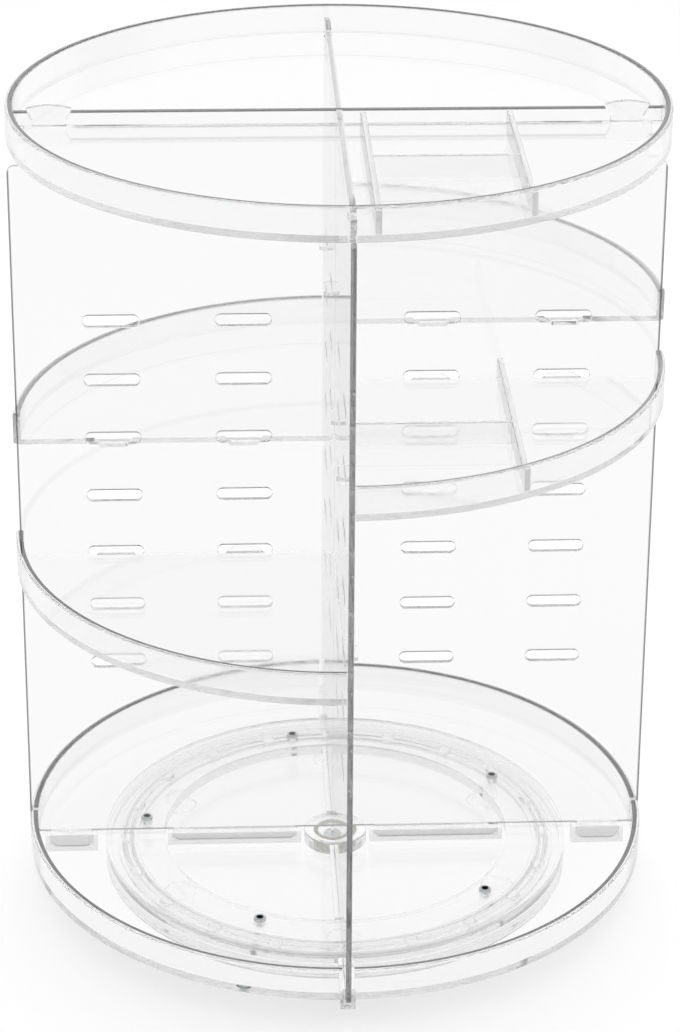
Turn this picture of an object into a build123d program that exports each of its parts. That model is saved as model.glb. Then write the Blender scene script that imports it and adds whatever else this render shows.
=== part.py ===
from build123d import *
import math
import os

# A clear rotating cosmetics organiser. A round lower tray turns on a ball ring over a low
# base disc. Three upright panels stand on it in a cross and carry a round upper tray.
# Quarter trays hook into the slots of the panels, one in each corner of the cross.
#
# Millimetres, +Z up. The origin is on the table, on the turning axis. X runs along the
# full-width panel, and the front half panel points to -Y.

# ---- Round trays ----
tray_radius = 115.0
tray_height = 12.0
rim_wall = 2.8
floor_thickness = 2.0
rim_edge_radius = 0.8
skirt_edge_radius = 0.5
rim_to_rim = 280.0

# ---- Upright panels ----
panel_thickness = 2.0
panel_overhang = 0.3
panel_gap = 0.1
panel_corner_radius = 3.0
panel_edge_radius = 0.35
shoulder_width = 6.3
shoulder_drop = 12.3

# ---- Hook slots in the panels, and their rows ----
slot_width = 20.0
slot_height = 4.2
slot_inner_centre = 33.6
slot_outer_centre = 80.5
slot_rows = 7
slot_row_pitch = 22.6
first_row_drop = 82.6

# ---- Snap tabs on the panels, and what they fit into ----
tab_inset = 15.0
tab_neck_width = 11.0
tab_head_width = 15.7
tab_neck_height = 2.0
tab_flank_height = 4.2
tab_dome_height = 1.2
tab_clearance = 0.4
tab_slot_end_gap = 0.65
tab_slot_side_gap = 0.3

# ---- Upper tray ribs ----
rib_thickness = 2.0
rib_height = 5.2

# ---- Lower tray sockets under the floor ----
socket_wall = 1.5
socket_floor = 1.2
socket_clearance = 0.15
outer_socket_depth = 7.0
outer_foot_width = 15.7
outer_foot_corner = 3.0
socket_hub_gap = 1.2
socket_ring_gap = 1.5
inner_socket_depth = 5.0
foot_end_clearance = 0.5
rim_notch_side_gap = 1.1
rim_notch_reach = 0.5
leg_clearance = 0.3
leg_drop = 1.0

# ---- Quarter trays ----
quarter_overhang = 1.5
quarter_rim_wall = 2.7
quarter_floor = 2.0
quarter_height = 12.0
quarter_side_gap = 0.3
quarter_corner_radius = 3.0
quarter_edge_radius = 0.8
hook_base_width = 14.0
hook_tip_width = 9.0
hook_length = 5.2
hook_thickness = 1.5
hook_corner_radius = 1.0
hook_root = 3.0
quarter_tray_row = {"back_right": 1, "front_right": 2, "back_left": 3, "front_left": 5}
quarter_tray_angle = {"back_right": 0, "front_right": 270, "back_left": 90, "front_left": 180}

# ---- Dividers ----
divider_thickness = 2.0
divider_height = 8.0
divider_clearance = 0.3
divider_far_x = 58.0
divider_near_x = 7.8
divider_cross_y = 59.0
divider_side_start = 12.0
divider_edge_radius = 0.4

# ---- Film of air between flat moulded faces that rest on each other ----
seat_gap = 0.05

# ---- Turntable ----
base_socket_gap = 3.15
base_thickness = 2.5
base_clearance = 1.2
base_lip_wall = 1.8
base_lip_height = 2.5
ball_radius = 2.5
ball_circle_inset = 8.25
ball_count = 20
groove_depth = 1.0
race_clearance = 0.03
groove_slack = 0.15
race_ring_width = 22.0
race_ring_thickness = 4.3
cage_width = 7.5
cage_thickness = 1.6
cage_pocket_slack = 0.15

# ---- Screws through the lower tray into the race ring ----
ring_screw_count = 5
ring_screw_inset = 7.0
ring_screw_first_angle = 29.5
ring_screw_radius = 1.45
ring_screw_depth = 3.4
ring_screw_head_radius = 2.3
ring_screw_head_height = 1.3
screw_hole_slack = 0.1
screw_tip_gap = 0.3

# ---- Pivot ----
hub_radius = 11.8
hub_depth = 5.0
spindle_radius = 6.5
spindle_height = 4.7
spindle_top_gap = 0.4
spindle_running_gap = 0.08
bush_wall = 1.6
bush_slack = 0.04
bush_height = 2.5
pivot_screw_radius = 1.5
pivot_screw_tip_cover = 0.8
pivot_screw_tip_gap = 0.2
pivot_head_radius = 3.6
pivot_head_height = 1.5
washer_radius = 4.2
washer_thickness = 0.8
washer_gap = 0.05
washer_recess_slack = 0.3
recess_roof = 4.4

# ---- Rubber feet ----
foot_count = 6
foot_inset = 19.0
foot_radius = 6.0
foot_recess = 0.8
foot_slack = 0.05
foot_edge_radius = 0.4

# ---- Screwdriver recess ----
driver_slot_length_share = 1.1
driver_slot_width = 0.7
driver_slot_depth = 0.7

# ---- Distances from the axis, worked out from the sizes above ----
panel_half_width = tray_radius + panel_overhang
quarter_radius = tray_radius + quarter_overhang
slot_centres = (slot_inner_centre, slot_outer_centre)
tab_centre = tray_radius - tab_inset
outer_socket_reach = outer_foot_width / 2 + foot_end_clearance + socket_wall
outer_socket_start = tab_centre - outer_socket_reach
outer_socket_end = tab_centre + outer_socket_reach
base_radius = outer_socket_start - base_socket_gap
ball_circle = base_radius - ball_circle_inset
cage_inner = ball_circle - cage_width / 2
cage_outer = ball_circle + cage_width / 2
race_ring_inner = base_radius - race_ring_width
ring_screw_circle = race_ring_inner + ring_screw_inset
foot_circle = base_radius - foot_inset
inner_socket_start = hub_radius + socket_hub_gap
inner_socket_end = race_ring_inner - socket_ring_gap

# ---- Levels and widths, worked out from the sizes above ----
base_top = base_clearance + base_thickness
ball_centre_z = base_top - groove_depth + race_clearance + ball_radius
race_ring_bottom = ball_centre_z + ball_radius + race_clearance - groove_depth
race_ring_top = race_ring_bottom + race_ring_thickness
lower_underside = race_ring_top + seat_gap
lower_floor_top = lower_underside + floor_thickness
lower_rim_top = lower_underside + tray_height
upper_rim_top = lower_rim_top + rim_to_rim
upper_underside = upper_rim_top - tray_height
upper_floor_top = upper_underside + floor_thickness
rib_top = upper_floor_top + rib_height
panel_bottom = lower_floor_top + seat_gap
panel_top = upper_underside - seat_gap
half_panel = panel_thickness / 2
tab_slot_width = tab_head_width + 2 * tab_slot_end_gap
tab_slot_depth = panel_thickness + 2 * tab_slot_side_gap
rim_notch_width = panel_thickness + 2 * rim_notch_side_gap

# A cutting shape reaches this far past the face that it cuts.
through = 1.0
# Stretches of one solid run this far into each other.
weld = 0.5
# Two places that are nearer than this count as the same.
same_place = 1e-3
BOTTOM = (Align.CENTER, Align.CENTER, Align.MIN)
QUARTERS = (0, 90, 180, 270)


def slot_row_z(row):
    return upper_rim_top - first_row_drop - (row - 1) * slot_row_pitch


def disc(radius, bottom, top):
    return Pos(0, 0, bottom) * Cylinder(radius, top - bottom, align=BOTTOM)


def block(x0, x1, y0, y1, z0, z1):
    size = Box(x1 - x0, y1 - y0, z1 - z0, align=(Align.MIN, Align.MIN, Align.MIN))
    return Pos(x0, y0, z0) * size


def around(shape, angles):
    return [Rot(0, 0, angle) * shape for angle in angles]


def even_angles(count, first=0.0):
    return [first + 360.0 * index / count for index in range(count)]


def upright(profile, thickness):
    """Extrudes an XY profile both ways and stands it up in the XZ plane."""
    plate = extrude(profile, amount=thickness / 2, both=True)
    return Rot(90, 0, 0) * plate


def round_tray(bottom):
    """A shallow round tray: floor and rim, with soft rim and skirt edges."""
    top = bottom + tray_height
    shell = disc(tray_radius, bottom, top)
    shell -= disc(tray_radius - rim_wall, bottom + floor_thickness, top + through)
    circles = shell.edges().filter_by(GeomType.CIRCLE)
    rims = [e for e in circles if abs(e.center().Z - top) < same_place]
    shell = fillet(rims, min(rim_edge_radius, rim_wall * 0.45))
    skirt = [
        e for e in shell.edges().filter_by(GeomType.CIRCLE)
        if abs(e.center().Z - bottom) < same_place and e.radius > tray_radius / 2
    ]
    return fillet(skirt, min(skirt_edge_radius, floor_thickness * 0.9))


# ---- Upright panels ----

def tab_profile(grow=0.0, root=0.0):
    """The mushroom tab on a panel's top edge, drawn up from y = -root, about x = 0."""
    neck = tab_neck_width / 2 + grow
    head = tab_head_width / 2 + grow
    flank = floor_thickness + tab_neck_height
    shoulder = flank + tab_flank_height
    sides = Polyline(
        (-head, shoulder), (-neck, flank), (-neck, -root),
        (neck, -root), (neck, flank), (head, shoulder),
    )
    dome = ThreePointArc((head, shoulder), (0, shoulder + tab_dome_height + grow), (-head, shoulder))
    return make_face(sides + dome)


def slot_profile():
    return SlotOverall(slot_width, slot_height)


def foot_profile(width, depth, corner):
    """A tongue that hangs down from y = 0 to -depth, about x = 0."""
    tongue = Pos(0, -depth / 2) * Rectangle(width, depth)
    low = tongue.vertices().group_by(Axis.Y)[0]
    return fillet(low, min(corner, width * 0.45, depth * 0.45))


def wing_profile(inner_edge, top_shoulder):
    """One wing of a panel, from inner_edge out to the rim, in (distance, z)."""
    height = panel_top - panel_bottom
    width = panel_half_width - inner_edge
    sheet = Pos(inner_edge + width / 2, panel_bottom + height / 2) * Rectangle(width, height)
    if top_shoulder:
        cut = Pos(panel_half_width - shoulder_width / 2, panel_top - shoulder_drop / 2)
        sheet -= cut * Rectangle(shoulder_width, shoulder_drop)
    outer = [v for v in sheet.vertices() if v.X > panel_half_width - same_place]
    corners = [v for v in outer if v.Y > lower_rim_top]
    sheet = fillet(corners, min(panel_corner_radius, shoulder_width * 0.45))
    outer_depth = floor_thickness + outer_socket_depth - socket_floor
    outer_foot = foot_profile(outer_foot_width, outer_depth, outer_foot_corner)
    sheet += Pos(tab_centre, panel_bottom) * outer_foot
    inner_depth = floor_thickness + inner_socket_depth - socket_floor
    inner_width = inner_socket_end - inner_socket_start - 2 * (socket_wall + foot_end_clearance)
    inner_middle = (inner_socket_end + inner_socket_start) / 2
    inner_foot = foot_profile(inner_width, inner_depth, outer_foot_corner)
    sheet += Pos(inner_middle, panel_bottom) * inner_foot
    leg_inner = tray_radius - rim_wall + leg_clearance
    leg_height = floor_thickness + leg_drop
    leg_middle = (leg_inner + panel_half_width) / 2
    leg = Rectangle(panel_half_width - leg_inner, leg_height)
    sheet += Pos(leg_middle, panel_bottom - leg_height / 2) * leg
    for row in range(1, slot_rows + 1):
        for centre in slot_centres:
            sheet -= Pos(centre, slot_row_z(row)) * slot_profile()
    return sheet


def soft_panel(profile):
    """An upright panel whose outline and slots have soft moulded edges on both faces."""
    panel = upright(profile, panel_thickness)
    outlines = [e for e in panel.edges() if abs(abs(e.center().Y) - half_panel) < same_place]
    return fillet(outlines, min(panel_edge_radius, panel_thickness * 0.4))


def panel_tab():
    return Pos(tab_centre, 0, panel_top) * upright(tab_profile(root=weld), panel_thickness)


def full_panel():
    right = wing_profile(0.0, top_shoulder=True)
    left = mirror(right, about=Plane.YZ)
    tabs = around(panel_tab(), (0, 180))
    return soft_panel(right + left) + tabs


def half_panel_wing(angle):
    wing = soft_panel(wing_profile(half_panel + panel_gap, top_shoulder=False))
    return Rot(0, 0, angle) * (wing + panel_tab())


# ---- Upper tray ----

def top_tray():
    tray = round_tray(upper_underside)
    reach = tray_radius - rim_wall + weld
    rib = block(-reach, reach, -rib_thickness / 2, rib_thickness / 2, upper_floor_top, rib_top)
    for angle in (0, 90):
        tray += Rot(0, 0, angle) * rib
    tab_way = Pos(tab_centre, 0, upper_underside) * upright(tab_profile(tab_clearance), tab_slot_depth)
    floor_slot = block(
        tab_centre - tab_slot_width / 2, tab_centre + tab_slot_width / 2,
        -tab_slot_depth / 2, tab_slot_depth / 2,
        upper_underside - through, upper_floor_top,
    )
    for cut in around(tab_way + floor_slot, QUARTERS):
        tray -= cut
    return tray


# ---- Lower tray ----

def socket_shell(start, end, depth):
    half = half_panel + socket_clearance + socket_wall
    return block(start, end, -half, half, lower_underside - depth, lower_underside)


def socket_mouth(start, end, depth):
    half = half_panel + socket_clearance
    low = lower_underside - depth + socket_floor
    return block(start + socket_wall, end - socket_wall, -half, half, low, lower_floor_top + through)


def bottom_tray():
    tray = round_tray(lower_underside)
    hub = disc(hub_radius, lower_underside - hub_depth, lower_underside)
    tray += hub
    sockets = (
        (outer_socket_start, outer_socket_end, outer_socket_depth),
        (inner_socket_start, inner_socket_end, inner_socket_depth),
    )
    notch = block(
        tray_radius - rim_wall - rim_notch_reach, tray_radius + through,
        -rim_notch_width / 2, rim_notch_width / 2,
        lower_underside - through, lower_rim_top + through,
    )
    for start, end, depth in sockets:
        for shell in around(socket_shell(start, end, depth), QUARTERS):
            tray += shell
    for start, end, depth in sockets:
        for mouth in around(socket_mouth(start, end, depth), QUARTERS):
            tray -= mouth
    for cut in around(notch, QUARTERS):
        tray -= cut
    hole = Pos(ring_screw_circle, 0, 0) * disc(
        ring_screw_radius + screw_hole_slack, lower_underside - through, lower_floor_top + through
    )
    for cut in around(hole, even_angles(ring_screw_count, ring_screw_first_angle)):
        tray -= cut
    ceiling = base_top + spindle_height + spindle_top_gap
    tray -= disc(bush_outer_radius() + bush_slack, lower_underside - hub_depth - through, ceiling)
    pilot_top = lower_floor_top - pivot_screw_tip_cover + pivot_screw_tip_gap
    tray -= disc(pivot_screw_radius + screw_hole_slack / 2, ceiling - through, pilot_top)
    return tray


# ---- Quarter trays ----

def quarter_outline(radius, start):
    """A quarter disc whose straight sides keep `start` away from both panel planes."""
    middle = start + radius / 2
    sheet = Circle(radius) & (Pos(middle, middle) * Rectangle(radius, radius))
    corner = sheet.vertices().sort_by_distance((start, start))[0]
    return fillet(corner, quarter_corner_radius)


def hook_profile():
    """A tapered hook that points to -Y from the tray's straight side at y = 0."""
    base = hook_base_width / 2
    tip = hook_tip_width / 2
    outline = Polyline(
        (-base, hook_root), (-base, 0), (-tip, -hook_length),
        (tip, -hook_length), (base, 0), (base, hook_root),
        close=True,
    )
    sheet = make_face(outline)
    tips = sheet.vertices().group_by(Axis.Y)[0]
    return fillet(tips, hook_corner_radius)


def hook_top(row):
    """The hook rests on the lower edge of its slot."""
    return slot_row_z(row) - slot_height / 2 + seat_gap + hook_thickness


def quarter_tray(row, angle):
    floor_top = hook_top(row)
    bottom = floor_top - quarter_floor
    start = half_panel + quarter_side_gap
    outline = quarter_outline(quarter_radius, start)
    tray = Pos(0, 0, bottom) * extrude(outline, amount=quarter_height)
    tray -= disc(quarter_radius - quarter_rim_wall, floor_top, bottom + quarter_height + through)
    arcs = [
        e for e in tray.edges().filter_by(GeomType.CIRCLE)
        if e.radius > quarter_radius / 2 and abs(e.center().Z - floor_top) > same_place
    ]
    tray = fillet(arcs, min(quarter_edge_radius, quarter_rim_wall * 0.4))
    hook = Pos(0, start, floor_top - hook_thickness) * extrude(hook_profile(), amount=hook_thickness)
    for centre in slot_centres:
        tray += Pos(centre, 0, 0) * hook
        tray += Rot(0, 0, 90) * mirror(Pos(centre, 0, 0) * hook, about=Plane.XZ)
    return Rot(0, 0, angle) * tray


# ---- Dividers ----

def divider_plate(x0, x1, y0, y1, bottom):
    plate = block(x0, x1, y0, y1, bottom, bottom + divider_height)
    top_edges = plate.edges().group_by(Axis.Z)[-1]
    return fillet(top_edges, min(divider_edge_radius, divider_thickness * 0.4))


def divider(near_x, side_start, bottom, inner_radius, near_side):
    """A long plate and a cross plate, with a second long plate if near_side is set."""
    half = divider_thickness / 2
    reach = inner_radius
    far = divider_plate(divider_far_x - half, divider_far_x + half, -reach, -side_start, bottom)
    cross_end = divider_far_x - half + weld
    cross_front = -divider_cross_y - half
    cross = divider_plate(near_x, cross_end, cross_front, cross_front + divider_thickness, bottom)
    shape = far + cross
    if near_side:
        shape += divider_plate(near_x - half, near_x + half, -reach, -side_start, bottom)
    top = bottom + divider_height
    return shape & disc(inner_radius - divider_clearance, bottom - through, top + through)


def top_divider():
    return divider(
        divider_near_x, divider_side_start, upper_floor_top + seat_gap,
        tray_radius - rim_wall, near_side=True,
    )


def tray_divider():
    bottom = hook_top(quarter_tray_row["front_right"]) + seat_gap
    start = half_panel + quarter_side_gap + divider_clearance
    return divider(start, start, bottom, quarter_radius - quarter_rim_wall, near_side=False)


# ---- Turntable ----

def ball_groove(centre_z):
    return Pos(0, 0, centre_z) * Torus(ball_circle, ball_radius + groove_slack)


def base_disc():
    plate = disc(base_radius, base_clearance, base_top)
    lip = disc(base_radius, base_top, base_top + base_lip_height)
    lip -= disc(base_radius - base_lip_wall, base_top - through, base_top + base_lip_height + through)
    plate += lip
    plate += disc(spindle_radius, base_top, base_top + spindle_height)
    plate -= ball_groove(base_top - groove_depth + groove_slack + ball_radius)
    plate -= disc(washer_radius + washer_recess_slack, base_clearance - through, recess_roof)
    screw_way = pivot_screw_radius + screw_hole_slack * 2
    plate -= disc(screw_way, recess_roof - through, base_top + spindle_height + through)
    pocket = Pos(foot_circle, 0, 0) * disc(
        foot_radius + foot_slack, base_clearance - through, base_clearance + foot_recess
    )
    for cut in around(pocket, even_angles(foot_count, 180.0 / foot_count)):
        plate -= cut
    return plate


def base_feet():
    pad = disc(foot_radius, 0, base_clearance + foot_recess - seat_gap)
    pad = fillet(pad.edges().group_by(Axis.Z)[0], min(foot_edge_radius, base_clearance * 0.45))
    pads = around(Pos(foot_circle, 0, 0) * pad, even_angles(foot_count, 180.0 / foot_count))
    return Compound(children=pads)


def bearing_balls():
    ball = Pos(ball_circle, 0, ball_centre_z) * Sphere(ball_radius)
    return Compound(children=around(ball, even_angles(ball_count)))


def ball_cage():
    low = ball_centre_z - cage_thickness / 2
    high = ball_centre_z + cage_thickness / 2
    ring = disc(cage_outer, low, high) - disc(cage_inner, low - through, high + through)
    pocket_radius = ball_radius + cage_pocket_slack
    pocket = Pos(ball_circle, 0, 0) * disc(pocket_radius, low - through, high + through)
    for cut in around(pocket, even_angles(ball_count)):
        ring -= cut
    return ring


def race_ring():
    ring = disc(base_radius, race_ring_bottom, race_ring_top)
    ring -= disc(race_ring_inner, race_ring_bottom - through, race_ring_top + through)
    ring -= ball_groove(race_ring_bottom + groove_depth - groove_slack - ball_radius)
    hole = Pos(ring_screw_circle, 0, 0) * disc(
        ring_screw_radius + screw_hole_slack / 2,
        lower_underside - ring_screw_depth - screw_tip_gap,
        race_ring_top + through,
    )
    for cut in around(hole, even_angles(ring_screw_count, ring_screw_first_angle)):
        ring -= cut
    return ring


def driver_cross(head_radius):
    length = head_radius * driver_slot_length_share
    bar = Box(length, driver_slot_width, 2 * driver_slot_depth)
    return bar + Rot(0, 0, 90) * bar


def pan_screw(radius, head_radius, head_height, length):
    """A screw that hangs down from z = 0, with its head above."""
    head = Cylinder(head_radius, head_height, align=BOTTOM)
    head = fillet(head.edges().group_by(Axis.Z)[-1], head_height * 0.4)
    head -= Pos(0, 0, head_height) * driver_cross(head_radius)
    shank = Pos(0, 0, -length) * Cylinder(radius, length, align=BOTTOM)
    shank = chamfer(shank.edges().group_by(Axis.Z)[0], radius * 0.4)
    return head + shank


def race_ring_screws():
    length = floor_thickness + ring_screw_depth
    screw = pan_screw(ring_screw_radius, ring_screw_head_radius, ring_screw_head_height, length)
    placed = Pos(ring_screw_circle, 0, lower_floor_top) * screw
    return Compound(children=around(placed, even_angles(ring_screw_count, ring_screw_first_angle)))


# ---- Pivot ----

def bush_outer_radius():
    return spindle_radius + spindle_running_gap + bush_wall


def pivot_bush():
    ceiling = base_top + spindle_height + spindle_top_gap
    sleeve = disc(bush_outer_radius(), ceiling - bush_height, ceiling)
    bore = spindle_radius + spindle_running_gap
    return sleeve - disc(bore, ceiling - bush_height - through, ceiling + through)


def pivot_washer():
    top = recess_roof - washer_gap
    ring = disc(washer_radius, top - washer_thickness, top)
    bore = pivot_screw_radius + screw_hole_slack
    return ring - disc(bore, top - washer_thickness - through, top + through)


def pivot_screw():
    seat = recess_roof - washer_gap - washer_thickness
    length = lower_floor_top - pivot_screw_tip_cover - seat
    screw = pan_screw(pivot_screw_radius, pivot_head_radius, pivot_head_height, length)
    return Pos(0, 0, seat) * Rot(180, 0, 0) * screw


def main():
    nodes = {
        "base_disc": base_disc(),
        "base_feet": base_feet(),
        "ball_cage": ball_cage(),
        "bearing_balls": bearing_balls(),
        "race_ring": race_ring(),
        "race_ring_screws": race_ring_screws(),
        "pivot_bush": pivot_bush(),
        "pivot_washer": pivot_washer(),
        "pivot_screw": pivot_screw(),
        "bottom_tray": bottom_tray(),
        "full_panel": full_panel(),
        "front_half_panel": half_panel_wing(-90),
        "rear_half_panel": half_panel_wing(90),
        "top_tray": top_tray(),
        "top_divider": top_divider(),
        "front_right_divider": tray_divider(),
    }
    for corner, row in quarter_tray_row.items():
        nodes[f"quarter_tray_{corner}"] = quarter_tray(row, quarter_tray_angle[corner])
    os.makedirs("parts", exist_ok=True)
    for name, shape in nodes.items():
        export_step(shape, f"parts/{name}.step")


main()
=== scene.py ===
# %% [markdown]
# A clear rotating make-up organiser, dressed over a fixed engineering frame. The frame holds
# every moulded piece at its real size, in metres, so no shape is added here. This script gives
# what the eye needs: a white table, soft light, the camera, and a finish for each kind of
# plastic, glass, metal and pad.

# %% Load the frame
import bpy
import math
from mathutils import Matrix, Vector


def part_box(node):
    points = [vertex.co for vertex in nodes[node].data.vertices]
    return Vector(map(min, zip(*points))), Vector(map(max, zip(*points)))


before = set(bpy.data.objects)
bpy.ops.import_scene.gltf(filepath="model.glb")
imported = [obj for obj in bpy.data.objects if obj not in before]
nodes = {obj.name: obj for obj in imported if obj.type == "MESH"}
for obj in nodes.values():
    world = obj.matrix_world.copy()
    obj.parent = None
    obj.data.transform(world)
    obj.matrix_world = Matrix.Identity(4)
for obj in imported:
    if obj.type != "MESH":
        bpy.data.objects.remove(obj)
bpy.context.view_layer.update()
bpy.ops.object.select_all(action="DESELECT")

# %% [markdown]
# Sizes are easier to read in millimetres, and Blender works in metres. Colours are easier to
# read as the hex values of a screen, and a shader wants linear light. One number and one small
# function do both, so that no other line has to.

# %% Units and colours
MM = 0.001


def linear(hex_colour):
    """The linear RGBA of an sRGB hex colour such as 'F4F5F6'."""
    channels = [int(hex_colour[i:i + 2], 16) / 255 for i in (0, 2, 4)]
    return tuple(c / 12.92 if c <= 0.04045 else ((c + 0.055) / 1.055) ** 2.4 for c in channels) + (1.0,)


print("mid grey BCBCBC is", round(linear("BCBCBC")[0], 3), "in linear light")

# %% [markdown]
# The photograph was taken from in front and above, a little more than a metre away, with a
# long lens. The camera stands a touch to the left of the front panel. Its place was worked out
# from the ellipses of the two round trays, so it is given as a distance, a height and angles.

# %% Camera
camera_distance = 1052.8 * MM
camera_height = 636.9 * MM
camera_side_angle = 0.0432
camera_heading = 0.0441
camera_tilt_down = 0.4023
camera_roll = 0.0056
focal_length = 111.2
sensor_width = 36.0
frame_shift = -0.1124

camera_data = bpy.data.cameras.new("camera")
camera_data.lens = focal_length
camera_data.sensor_width = sensor_width
camera_data.shift_y = frame_shift
camera = bpy.data.objects.new("camera", camera_data)
bpy.context.collection.objects.link(camera)
place = Vector((
    -camera_distance * math.sin(camera_side_angle),
    -camera_distance * math.cos(camera_side_angle),
    camera_height,
))
turn = (
    Matrix.Rotation(-camera_heading, 4, "Z")
    @ Matrix.Rotation(math.pi / 2 - camera_tilt_down, 4, "X")
    @ Matrix.Rotation(camera_roll, 4, "Z")
)
camera.matrix_world = Matrix.Translation(place) @ turn
bpy.context.scene.camera = camera
print("camera at", [round(c, 3) for c in place])

# %% [markdown]
# A material is a small graph of nodes. One helper adds a node, sets its values and joins its
# inputs, so each recipe below reads as a short list.


# %% Node helper
def add_node(tree, kind, values=None, links=None, **settings):
    """Adds a node, sets its attributes and input values, and links its inputs to sockets."""
    node = tree.nodes.new(kind)
    for name, value in settings.items():
        setattr(node, name, value)
    for name, value in (values or {}).items():
        node.inputs[name].default_value = value
    for name, socket in (links or {}).items():
        tree.links.new(socket, node.inputs[name])
    return node


def new_material(name):
    """An empty material and its node tree."""
    material = bpy.data.materials.new(name)
    material.use_nodes = True
    material.node_tree.nodes.clear()
    return material, material.node_tree


def wear(material, *names):
    """Gives the named pieces this finish."""
    for name in names:
        node = nodes[name]
        node.data.materials.clear()
        node.data.materials.append(material)
    print(material.name, "on", ", ".join(names))


print("node helpers ready")

# %% [markdown]
# Clear plastic shows its surroundings, so the surroundings are half of its look. Around the
# object all is white. Overhead and far out at both sides it is grey, as where a studio hangs
# its grey cards: rims and cut edges bend their light from there, and draw grey lines on white.
# A picture of a studio could do this too, but a few nodes need no file.

# %% World: where the grey cards hang
overhead_from, overhead_to = 0.50, 0.90
side_card_from, side_card_to = 0.86, 0.97

world = bpy.data.worlds.new("studio")
world.use_nodes = True
bpy.context.scene.world = world
tree = world.node_tree
tree.nodes.clear()
direction = add_node(tree, "ShaderNodeTexCoord")
axes = add_node(tree, "ShaderNodeSeparateXYZ", links={"Vector": direction.outputs["Generated"]})
overhead = add_node(
    tree, "ShaderNodeMapRange", values={"From Min": overhead_from, "From Max": overhead_to},
    links={"Value": axes.outputs["Z"]},
)
sideways = add_node(tree, "ShaderNodeMath", operation="ABSOLUTE", links={0: axes.outputs["X"]})
side_card = add_node(
    tree, "ShaderNodeMapRange", values={"From Min": side_card_from, "From Max": side_card_to},
    links={"Value": sideways.outputs[0]},
)
card = add_node(
    tree, "ShaderNodeMath", operation="MAXIMUM",
    links={0: overhead.outputs["Result"], 1: side_card.outputs["Result"]},
)
print("cards begin at height", overhead_from, "and at side", side_card_from)

# %% [markdown]
# Three kinds of ray meet the world. Rays straight from the camera see plain white. Rays that
# plastic or metal has mirrored or bent see the cards. All others get an even, weaker fill.

# %% World: what each ray sees
card_strength = 0.22
fill_strength = 0.70

ramp = add_node(tree, "ShaderNodeValToRGB", links={"Fac": card.outputs[0]})
ramp.color_ramp.elements[0].color = (1.0, 1.0, 1.0, 1.0)
ramp.color_ramp.elements[1].color = (card_strength, card_strength, card_strength, 1.0)
paths = add_node(tree, "ShaderNodeLightPath")
mirrored_or_bent = add_node(
    tree, "ShaderNodeMath", operation="MAXIMUM",
    links={0: paths.outputs["Is Glossy Ray"], 1: paths.outputs["Is Transmission Ray"]},
)
fill = add_node(tree, "ShaderNodeBackground", values={"Color": (1, 1, 1, 1), "Strength": fill_strength})
cards = add_node(
    tree, "ShaderNodeBackground", values={"Strength": 1.0}, links={"Color": ramp.outputs["Color"]}
)
white = add_node(tree, "ShaderNodeBackground", values={"Color": (1, 1, 1, 1), "Strength": 1.0})
lit = add_node(
    tree, "ShaderNodeMixShader",
    links={0: mirrored_or_bent.outputs[0], 1: fill.outputs[0], 2: cards.outputs[0]},
)
shown = add_node(
    tree, "ShaderNodeMixShader",
    links={0: paths.outputs["Is Camera Ray"], 1: lit.outputs[0], 2: white.outputs[0]},
)
add_node(tree, "ShaderNodeOutputWorld", links={"Surface": shown.outputs[0]})
print("cards at strength", card_strength, "fill at", fill_strength)

# %% [markdown]
# The table is a wide white disc, and isn't part of the object. Part of what it shows is its own
# lit surface, which keeps the soft shadow, and part is plain white, so that the ground runs
# into the background. Seen through the plastic the plain share is larger. That is a choice made
# for likeness: the photograph shows hardly any shadow through the clear floor.

# %% Table
table_radius = 6.0
table_reflects = 0.98
plain_white_direct = 0.45
plain_white_through = 0.92

bpy.ops.mesh.primitive_circle_add(vertices=96, radius=table_radius, fill_type="NGON")
table = bpy.context.object
table.name = "white_table"
material, tree = new_material("white_laminate_ground")
paths = add_node(tree, "ShaderNodeLightPath")
through = add_node(
    tree, "ShaderNodeMath", operation="MAXIMUM",
    links={0: paths.outputs["Is Glossy Ray"], 1: paths.outputs["Is Transmission Ray"]},
)
through_share = add_node(
    tree, "ShaderNodeMath", operation="MULTIPLY", values={1: plain_white_through},
    links={0: through.outputs[0]},
)
share = add_node(
    tree, "ShaderNodeMath", operation="MULTIPLY_ADD", values={1: plain_white_direct},
    links={0: paths.outputs["Is Camera Ray"], 2: through_share.outputs[0]},
)
lit = add_node(
    tree, "ShaderNodeBsdfDiffuse", values={"Color": (table_reflects, table_reflects, table_reflects, 1.0)}
)
plain = add_node(tree, "ShaderNodeEmission", values={"Strength": 1.0})
mixed = add_node(
    tree, "ShaderNodeMixShader", links={0: share.outputs[0], 1: lit.outputs[0], 2: plain.outputs[0]}
)
add_node(tree, "ShaderNodeOutputMaterial", links={"Surface": mixed.outputs[0]})
table.data.materials.append(material)
print("table radius in m:", table_radius)

# %% [markdown]
# One large softbox hangs above and a little behind. It gives the soft shadow at the foot of
# the object. Clear plastic would mirror it as a hard white square, so mirrored and bent rays
# don't see it.

# %% Softbox
softbox_place = Vector((0.05, 0.35, 1.5))
softbox_aim = Vector((0.0, 0.0, 0.1))
lamp_data = bpy.data.lights.new("softbox", "AREA")
lamp_data.shape = "SQUARE"
lamp_data.size = 1.0
lamp_data.energy = 14.0
lamp = bpy.data.objects.new("softbox", lamp_data)
bpy.context.collection.objects.link(lamp)
lamp.location = softbox_place
lamp.rotation_euler = (softbox_aim - softbox_place).to_track_quat("-Z", "Y").to_euler()
lamp.visible_glossy = False
lamp.visible_transmission = False
print("softbox of", lamp_data.size, "m,", lamp_data.energy, "W")

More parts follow.
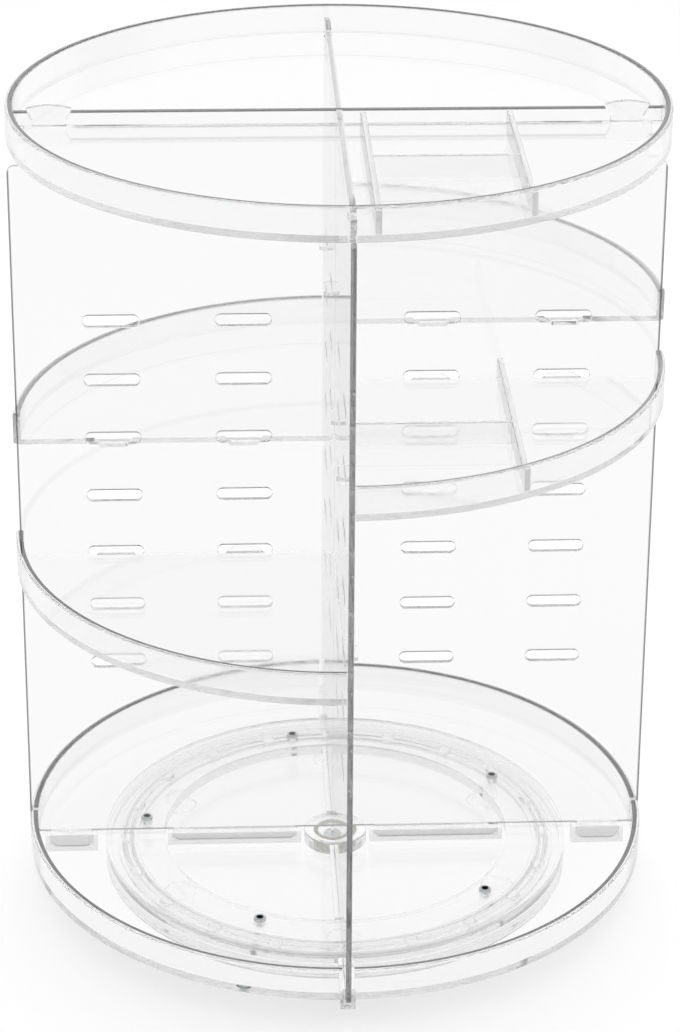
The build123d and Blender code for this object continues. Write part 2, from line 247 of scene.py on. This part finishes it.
# %% [markdown]
# On a clear moulding the eye reads the edges. The top of a rim and the narrow side of a panel
# look down into a long depth of plastic, so they stand out as grey lines on the pale faces.
# Refraction alone drew them too faintly here, so each kind of piece also gets a mask, from 0 on
# the faces to 1 on such an edge, and the mask paints shade into the plastic's colour there, so
# the grey lines are painted shade. The masks are built from a point's place on the piece and
# its normal, so they stay put in every view.


# %% Where a point lies
def object_axes(tree):
    """The X, Y and Z of a point on the piece, in metres."""
    place = add_node(tree, "ShaderNodeTexCoord")
    return add_node(tree, "ShaderNodeSeparateXYZ", links={"Vector": place.outputs["Object"]})


def axis_distance(tree, parts):
    """How far a point lies from the upright axis that the organiser turns on."""
    flat = add_node(
        tree, "ShaderNodeCombineXYZ", links={"X": parts.outputs["X"], "Y": parts.outputs["Y"]}
    )
    length = add_node(tree, "ShaderNodeVectorMath", operation="LENGTH", links={0: flat.outputs[0]})
    return length.outputs["Value"]


def band(tree, value, low, high, soft):
    """1 where the value lies between low and high, with soft borders."""
    rise = add_node(
        tree, "ShaderNodeMapRange", values={"From Min": low - soft, "From Max": low + soft},
        links={"Value": value},
    )
    fall = add_node(
        tree, "ShaderNodeMapRange", values={"From Min": high + soft, "From Max": high - soft},
        links={"Value": value},
    )
    both = add_node(
        tree, "ShaderNodeMath", operation="MULTIPLY",
        links={0: rise.outputs["Result"], 1: fall.outputs["Result"]},
    )
    return both.outputs[0]


print("place helpers ready")

# %% [markdown]
# Two masks serve most pieces. One asks how far the surface turns away from a flat face. The
# other finds the top of a round rim, by its level and its distance from the axis.

# %% Edge masks
still_face, full_edge = 0.97, 0.80
rim_top_depth, rim_top_over = 0.9 * MM, 1.0 * MM
rim_side_soft, level_soft = 0.15 * MM, 0.1 * MM


def turned_from(tree, axis):
    """1 where the surface no longer faces along the named axis, 0 where it does."""
    place = add_node(tree, "ShaderNodeTexCoord")
    parts = add_node(tree, "ShaderNodeSeparateXYZ", links={"Vector": place.outputs["Normal"]})
    size = add_node(tree, "ShaderNodeMath", operation="ABSOLUTE", links={0: parts.outputs[axis]})
    edge = add_node(
        tree, "ShaderNodeMapRange", values={"From Min": still_face, "From Max": full_edge},
        links={"Value": size.outputs[0]},
    )
    return edge.outputs["Result"]


def rim_top(tree, level, inner, outer):
    """1 on the top of a round rim that ends at this level, between two radii."""
    parts = object_axes(tree)
    on_ring = band(tree, axis_distance(tree, parts), inner, outer, rim_side_soft)
    at_top = band(tree, parts.outputs["Z"], level - rim_top_depth, level + rim_top_over, level_soft)
    both = add_node(tree, "ShaderNodeMath", operation="MULTIPLY", links={0: on_ring, 1: at_top})
    return both.outputs[0]


print("rim tops are read over", round(rim_top_depth / MM, 1), "mm")

# %% [markdown]
# All the moulded pieces are clear polystyrene, which bends light strongly, so they get a real
# index of refraction and a little grey with the depth of plastic that the light crosses. Two
# scales of detail keep them from looking like plain glass: slow ripples, some 30 mm long, where
# the melt flowed and cooled, and mould polish marks. Real marks are too fine to show, so they
# are drawn 4 mm wide. A surface seen at a slant is also painted greyer: painted shade, on top of
# the grey that the depth of plastic gives.
#
# Light that is caught inside a wall bounces on without end, and drew the walls black when the
# count ran out. After ten turns it is let straight through, and so are shadow rays.

# %% Clear plastic: shared numbers
slant_from = 0.78
caught_after = 10.5
shadow_pass = 0.94
polish_mark = 4 * MM
polish_low, polish_high = 0.35, 0.75
print("light is let through after", int(caught_after), "turns")


# %% Clear plastic: colour of the surface, with painted shade
def colour_with_painted_shade(tree, face, painted_slant_shade, edge, painted_line_shade):
    """The face colour with painted shade: greyer at a slant, and darker where the edge mask says so."""
    slant = add_node(tree, "ShaderNodeLayerWeight", values={"Blend": 0.5})
    colour = add_node(tree, "ShaderNodeValToRGB", links={"Fac": slant.outputs["Facing"]})
    colour.color_ramp.elements[0].position = slant_from
    colour.color_ramp.elements[0].color = linear(face)
    colour.color_ramp.elements[1].position = 1.0
    colour.color_ramp.elements[1].color = linear(painted_slant_shade)
    if edge is None:
        return colour.outputs["Color"]
    edge_shaded = add_node(
        tree, "ShaderNodeMix", data_type="RGBA", blend_type="MULTIPLY",
        values={7: linear(painted_line_shade)}, links={0: edge(tree), 6: colour.outputs["Color"]},
    )
    return edge_shaded.outputs[2]


print("surface colour ready")


# %% Clear plastic: the whole recipe
# The two greys of the colour, for edge lines and for slants, are painted shade.
def clear_plastic(
    name, face="FCFCFC", edge=None, painted_line_shade="4A4A4A", painted_slant_shade="6E6E6E", tint="B8B8B8",
    density=3.0, ior=1.57, clarity=0.985, ripple_width=30 * MM, ripple_height=0.012 * MM,
    gloss=(0.01, 0.05),
):
    """A clear moulding. The edge argument is a function that builds its mask in the tree."""
    material, tree = new_material(name)
    place = add_node(tree, "ShaderNodeTexCoord")
    flow = add_node(
        tree, "ShaderNodeTexNoise", values={"Scale": 1 / ripple_width, "Detail": 0.0},
        links={"Vector": place.outputs["Object"]},
    )
    ripple = add_node(
        tree, "ShaderNodeBump", values={"Strength": 1.0, "Distance": ripple_height},
        links={"Height": flow.outputs["Fac"]},
    )
    marks = add_node(
        tree, "ShaderNodeTexNoise", values={"Scale": 1 / polish_mark, "Detail": 1.0},
        links={"Vector": place.outputs["Object"]},
    )
    polish = add_node(
        tree, "ShaderNodeMapRange",
        values={"From Min": polish_low, "From Max": polish_high, "To Min": gloss[0], "To Max": gloss[1]},
        links={"Value": marks.outputs["Fac"]},
    )
    body = add_node(
        tree, "ShaderNodeBsdfPrincipled", values={"IOR": ior, "Transmission Weight": clarity},
        links={
            "Base Color": colour_with_painted_shade(tree, face, painted_slant_shade, edge, painted_line_shade),
            "Roughness": polish.outputs["Result"], "Normal": ripple.outputs["Normal"],
        },
    )
    paths = add_node(tree, "ShaderNodeLightPath")
    caught = add_node(
        tree, "ShaderNodeMath", operation="GREATER_THAN", values={1: caught_after},
        links={0: paths.outputs["Ray Depth"]},
    )
    let_through = add_node(
        tree, "ShaderNodeMath", operation="MAXIMUM",
        links={0: paths.outputs["Is Shadow Ray"], 1: caught.outputs[0]},
    )
    passed = add_node(
        tree, "ShaderNodeBsdfTransparent", values={"Color": (shadow_pass, shadow_pass, shadow_pass, 1.0)}
    )
    mixed = add_node(
        tree, "ShaderNodeMixShader",
        links={0: let_through.outputs[0], 1: body.outputs[0], 2: passed.outputs[0]},
    )
    inside = add_node(
        tree, "ShaderNodeVolumeAbsorption", values={"Color": linear(tint), "Density": density}
    )
    add_node(
        tree, "ShaderNodeOutputMaterial",
        links={"Surface": mixed.outputs[0], "Volume": inside.outputs[0]},
    )
    return material


print("clear plastic recipe ready")

# %% [markdown]
# The three upright panels are flat mouldings with rounded borders. Their faces are a touch
# greyer than the white behind them. The long outer border shows as the strongest line, the
# slots and the top as weaker ones, all painted shade, so one mask asks both where the surface
# turns away from the flat face and how far out it lies.

# %% Panel edge mask
panel_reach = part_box("full_panel")[1].x
border_soft = 0.2 * MM


def panel_edge(tree, facing, along, inner_share, border):
    """Full on the panel's long outer borders, and a share of that on its slots, top and foot."""
    parts = object_axes(tree)
    out = add_node(tree, "ShaderNodeMath", operation="ABSOLUTE", links={0: parts.outputs[along]})
    outer = add_node(
        tree, "ShaderNodeMapRange",
        values={"From Min": panel_reach - border - border_soft, "From Max": panel_reach - border},
        links={"Value": out.outputs[0]},
    )
    inner = add_node(
        tree, "ShaderNodeMath", operation="MULTIPLY", values={1: inner_share},
        links={0: turned_from(tree, facing)},
    )
    both = add_node(
        tree, "ShaderNodeMath", operation="MAXIMUM",
        links={0: outer.outputs["Result"], 1: inner.outputs[0]},
    )
    return both.outputs[0]


print("panel half width in mm:", round(panel_reach / MM, 2))

# %% [markdown]
# Clear polystyrene, moulded flat in a polished tool: hard bright faces with very slow ripples.
# The wide panel is seen face on, so its slots get half the painted line's strength. The two half
# panels are seen edge on, where the slots would crowd the picture, so theirs get less.

# %% Panels
wide_panel = clear_plastic(
    "clear_polystyrene_full_panel", face="FAFAFA", painted_line_shade="8E8E8E",
    edge=lambda tree: panel_edge(tree, "Y", "X", 0.5, 0.55 * MM),
    ripple_width=60 * MM, ripple_height=0.01 * MM,
)
wear(wide_panel, "full_panel")
half_panels = clear_plastic(
    "clear_polystyrene_half_panel", face="FAFAFA", painted_line_shade="8A8A8A",
    edge=lambda tree: panel_edge(tree, "X", "Y", 0.15, 0.30 * MM),
    ripple_width=60 * MM, ripple_height=0.01 * MM,
)
wear(half_panels, "front_half_panel", "rear_half_panel")

# %% [markdown]
# Each tray is one moulding: a floor with a rim. Its most visible line is the top of the rim.
# The upper tray has one line more, on the cross rib over the wide panel. The lower tray also
# shows grey bars, the walls of the sockets under its floor, and its rim is softly grey outside.
# All of these lines are painted shade, tinted into the plastic's colour by the masks below.

# %% Tray edge masks
rim_line_inner, rim_line_outer = 2.7 * MM, 1.0 * MM
cross_rib_height = 7.2 * MM
cross_rib_half_width, cross_rib_half_depth = 1.2 * MM, 0.5 * MM
lower_floor_under, socket_soft = 11.0 * MM, 0.4 * MM
outer_wall_from, outer_wall_full = 0.7 * MM, 0.4 * MM
socket_share, wall_share = 0.22, 0.10


def cross_rib_top(tree, level):
    """1 on the top of the rib that runs from side to side at this level."""
    parts = object_axes(tree)
    on_rib = band(tree, parts.outputs["Y"], -cross_rib_half_width, cross_rib_half_width, level_soft)
    at_top = band(
        tree, parts.outputs["Z"], level - cross_rib_half_depth, level + cross_rib_half_depth, level_soft
    )
    both = add_node(tree, "ShaderNodeMath", operation="MULTIPLY", links={0: on_rib, 1: at_top})
    return both.outputs[0]


def under_floor_walls(tree, floor_level):
    """A small share on every upright wall below the floor."""
    parts = object_axes(tree)
    below = add_node(
        tree, "ShaderNodeMapRange",
        values={"From Min": floor_level, "From Max": floor_level - socket_soft, "To Max": socket_share},
        links={"Value": parts.outputs["Z"]},
    )
    both = add_node(
        tree, "ShaderNodeMath", operation="MULTIPLY",
        links={0: below.outputs["Result"], 1: turned_from(tree, "Z")},
    )
    return both.outputs[0]


# Painted shade: a soft grey tinted on the outside of the lower tray's rim.
def outer_wall(tree, reach):
    """A small share on the outside of a round rim, for the soft grey it shows in the photograph."""
    outside = add_node(
        tree, "ShaderNodeMapRange",
        values={
            "From Min": reach - outer_wall_from, "From Max": reach - outer_wall_full,
            "To Max": wall_share,
        },
        links={"Value": axis_distance(tree, object_axes(tree))},
    )
    return outside.outputs["Result"]


print("rim line in mm:", round((rim_line_inner - rim_line_outer) / MM, 2))

# %% [markdown]
# The plastic is one for all the trays. The photograph still shows the rim line dark on the upper
# tray, the lower tray and the low front quarter, and softer on the other quarters, by where each
# catches its light. A mask can't know that, so each tray has its own grey, matched from the
# front. From behind, the real trays would differ in another way.

# %% Trays
# Painted light and shade: the trays are one plastic, yet each gets its own painted line grey, the upper
# tray a lighter slant grey, and the lower tray a whiter face and thinner tint.
tray_looks = {
    "top_tray": {"painted_line_shade": "3A3A3A", "painted_slant_shade": "B4B4B4"},
    "bottom_tray": {"painted_line_shade": "3A3A3A", "face": "FFFFFF", "density": 1.0},
    "quarter_tray_front_left": {"painted_line_shade": "3A3A3A"},
    "quarter_tray_front_right": {"painted_line_shade": "6A6A6A"},
    "quarter_tray_back_left": {"painted_line_shade": "7C7C7C"},
    "quarter_tray_back_right": {"painted_line_shade": "9A9A9A"},
}


def tray_edge(tree, name):
    """The mask of one tray: its rim's top, and what only the round trays have."""
    low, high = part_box(name)
    reach = max(abs(side) for corner in (low, high) for side in (corner.x, corner.y))
    print(name, "reaches", round(reach / MM, 1), "mm, rim top at", round(high.z / MM, 1), "mm")
    lines = [rim_top(tree, high.z, reach - rim_line_inner, reach - rim_line_outer)]
    if name == "top_tray":
        lines.append(cross_rib_top(tree, low.z + cross_rib_height))
    if name == "bottom_tray":
        lines += [under_floor_walls(tree, lower_floor_under), outer_wall(tree, reach)]
    strongest = lines[0]
    for line in lines[1:]:
        pair = add_node(tree, "ShaderNodeMath", operation="MAXIMUM", links={0: strongest, 1: line})
        strongest = pair.outputs[0]
    return strongest


for name, look in tray_looks.items():
    finish = clear_plastic(
        f"clear_polystyrene_{name}", edge=lambda tree, name=name: tray_edge(tree, name), **look
    )
    wear(finish, name)

# %% [markdown]
# The two loose dividers are thinner mouldings in the same plastic. They are handled often, so
# their polish is duller. The turntable parts lie close over the bright table and look almost
# white, so their plastic is painted lighter, with only a breath of painted shade on their
# upright walls.

# %% Dividers and turntable
divider = clear_plastic("clear_polystyrene_divider", density=8.0, clarity=0.96, gloss=(0.03, 0.10))
wear(divider, "top_divider", "front_right_divider")
turntable = clear_plastic(
    "clear_polystyrene_turntable", face="FFFFFF", density=0.5,
    edge=lambda tree: turned_from(tree, "Z"), painted_line_shade="ECECEC", painted_slant_shade="A0A0A0",
)
wear(turntable, "race_ring", "base_disc", "ball_cage")

# %% [markdown]
# Three small kinds of piece sit under the clear floor. The bearing balls are ground glass,
# smoother than the plastic, with ripples too low to see. The bush on the spindle is natural
# acetal, a milky white with a satin skin. The feet are clear soft pads, dull and weakly bending.
# All three reuse the clear recipe, because what differs is clearness, bending and gloss.

# %% Balls, bush and pads
glass = clear_plastic(
    "clear_glass_bearing_ball", face="FFFFFF", painted_slant_shade="D0D0D0", density=0.5, ior=1.50,
    clarity=1.0, ripple_width=4 * MM, ripple_height=0.001 * MM, gloss=(0.0, 0.02),
)
wear(glass, "bearing_balls")
acetal = clear_plastic(
    "natural_acetal_bush", face="F8F8F5", painted_slant_shade="D8D8D4", density=2.0, ior=1.48,
    clarity=0.75, ripple_width=6 * MM, ripple_height=0.006 * MM, gloss=(0.20, 0.35),
)
wear(acetal, "pivot_bush")
pad = clear_plastic(
    "clear_soft_pad", face="FFFFFF", painted_slant_shade="ECECEC", density=0.5, ior=1.40,
    clarity=0.95, ripple_width=8 * MM, ripple_height=0.008 * MM, gloss=(0.20, 0.40),
)
wear(pad, "base_feet")

# %% [markdown]
# The five ring screws have a real cross recess in their heads. It is too fine to show from a
# metre away, where the eye only reads a dark spot of shade with a bright border. So a dark disc
# of painted shade, larger than the cross, is tinted over it. Five heads stand on one circle: the
# mask folds the circle into a fifth, and measures the distance from one head. The circle is
# measured on the screws.

# %% Driver recess mask: painted shade
screw_count = 5
first_screw_angle = math.radians(29.5)
recess_radius, recess_soft = 1.35 * MM, 0.15 * MM
head_distances = [v.co.xy.length for v in nodes["race_ring_screws"].data.vertices]
screw_circle = (min(head_distances) + max(head_distances)) / 2
half_fifth = math.pi / screw_count


def painted_recess_shade_mask(tree):
    """1 in the middle of each of the five heads, where the recess shade is painted."""
    parts = object_axes(tree)
    angle = add_node(
        tree, "ShaderNodeMath", operation="ARCTAN2", links={0: parts.outputs["Y"], 1: parts.outputs["X"]}
    )
    from_first = add_node(
        tree, "ShaderNodeMath", operation="SUBTRACT", values={1: first_screw_angle},
        links={0: angle.outputs[0]},
    )
    folded = add_node(
        tree, "ShaderNodeMath", operation="WRAP", values={1: half_fifth, 2: -half_fifth},
        links={0: from_first.outputs[0]},
    )
    outward = add_node(tree, "ShaderNodeCombineXYZ", links={"X": axis_distance(tree, parts)})
    in_the_fifth = add_node(
        tree, "ShaderNodeVectorRotate", rotation_type="Z_AXIS",
        links={"Vector": outward.outputs[0], "Angle": folded.outputs[0]},
    )
    away = add_node(
        tree, "ShaderNodeVectorMath", operation="DISTANCE", values={1: (screw_circle, 0.0, 0.0)},
        links={0: in_the_fifth.outputs[0]},
    )
    inside = add_node(
        tree, "ShaderNodeMapRange",
        values={"From Min": recess_radius + recess_soft, "From Max": recess_radius - recess_soft},
        links={"Value": away.outputs["Value"]},
    )
    return inside.outputs["Result"]


print("screw circle radius in mm:", round(screw_circle / MM, 2))

# %% [markdown]
# Metal needs three things that agree: a tone, a gloss and a relief. All three follow one
# pattern, so a dark crystal is also a duller and a lower one, as on the real surface.

# %% Metal recipe
relief_strength, relief_height = 0.6, 0.004 * MM
# Painted shade for the dark driver recess in each screw head.
painted_recess_shade_colour = "1E1F21"


def metal(name, dark, light, height, gloss, recess=None):
    """Bare or plated metal: height builds the surface pattern, gloss is its roughness range."""
    material, tree = new_material(name)
    pattern = height(tree)
    tone = add_node(tree, "ShaderNodeValToRGB", links={"Fac": pattern})
    tone.color_ramp.elements[0].color = linear(dark)
    tone.color_ramp.elements[1].color = linear(light)
    colour = tone.outputs["Color"]
    # Where the recess mask says so, painted shade replaces the metal's tone.
    if recess:
        recess_shaded = add_node(
            tree, "ShaderNodeMix", data_type="RGBA", values={7: linear(painted_recess_shade_colour)},
            links={0: recess(tree), 6: colour},
        )
        colour = recess_shaded.outputs[2]
    rough = add_node(
        tree, "ShaderNodeMapRange", values={"To Min": gloss[0], "To Max": gloss[1]},
        links={"Value": pattern},
    )
    relief = add_node(
        tree, "ShaderNodeBump", values={"Strength": relief_strength, "Distance": relief_height},
        links={"Height": pattern},
    )
    body = add_node(
        tree, "ShaderNodeBsdfPrincipled", values={"Metallic": 1.0},
        links={
            "Base Color": colour, "Roughness": rough.outputs["Result"],
            "Normal": relief.outputs["Normal"],
        },
    )
    add_node(tree, "ShaderNodeOutputMaterial", links={"Surface": body.outputs[0]})
    return material


print("metal recipe ready")

# %% [markdown]
# The ring screws are zinc-plated steel, a fine bright grain with a soft gloss. The pivot screw
# and its washer are turned steel, whose tool marks run in rings round the spindle. Both
# patterns are drawn at about their real size.

# %% Metal finishes
zinc_crystal = 0.35 * MM
tool_mark_spacing = 0.3 * MM
wave_length_at_scale_one = 0.314


def plate_grain(tree):
    """Zinc crystals about a third of a millimetre across."""
    place = add_node(tree, "ShaderNodeTexCoord")
    grain = add_node(
        tree, "ShaderNodeTexNoise", values={"Scale": 1 / zinc_crystal, "Detail": 2.0},
        links={"Vector": place.outputs["Object"]},
    )
    return grain.outputs["Fac"]


def lathe_rings(tree):
    """Rings round the spindle, one for each pass of the cutting tool."""
    place = add_node(tree, "ShaderNodeTexCoord")
    rings = add_node(
        tree, "ShaderNodeTexWave", wave_type="RINGS", rings_direction="Z",
        values={"Scale": wave_length_at_scale_one / tool_mark_spacing, "Distortion": 0.5},
        links={"Vector": place.outputs["Object"]},
    )
    return rings.outputs["Fac"]


zinc = metal("zinc_plated_screw", "B8BABD", "F0F1F2", plate_grain, (0.18, 0.34), painted_recess_shade_mask)
wear(zinc, "race_ring_screws")
turned_steel = metal("turned_steel_pivot", "D2D4D6", "EEEFF0", lathe_rings, (0.14, 0.28))
wear(turned_steel, "pivot_washer", "pivot_screw")

# %% [markdown]
# Light has to cross many clear walls one behind the other, so the number of bounces is high.

# %% Finish
clear_bounces = 32
glossy_bounces = 12
scene = bpy.context.scene
scene.view_settings.view_transform = "Standard"
scene.cycles.max_bounces = clear_bounces
scene.cycles.transmission_bounces = clear_bounces
scene.cycles.transparent_max_bounces = clear_bounces
scene.cycles.glossy_bounces = glossy_bounces
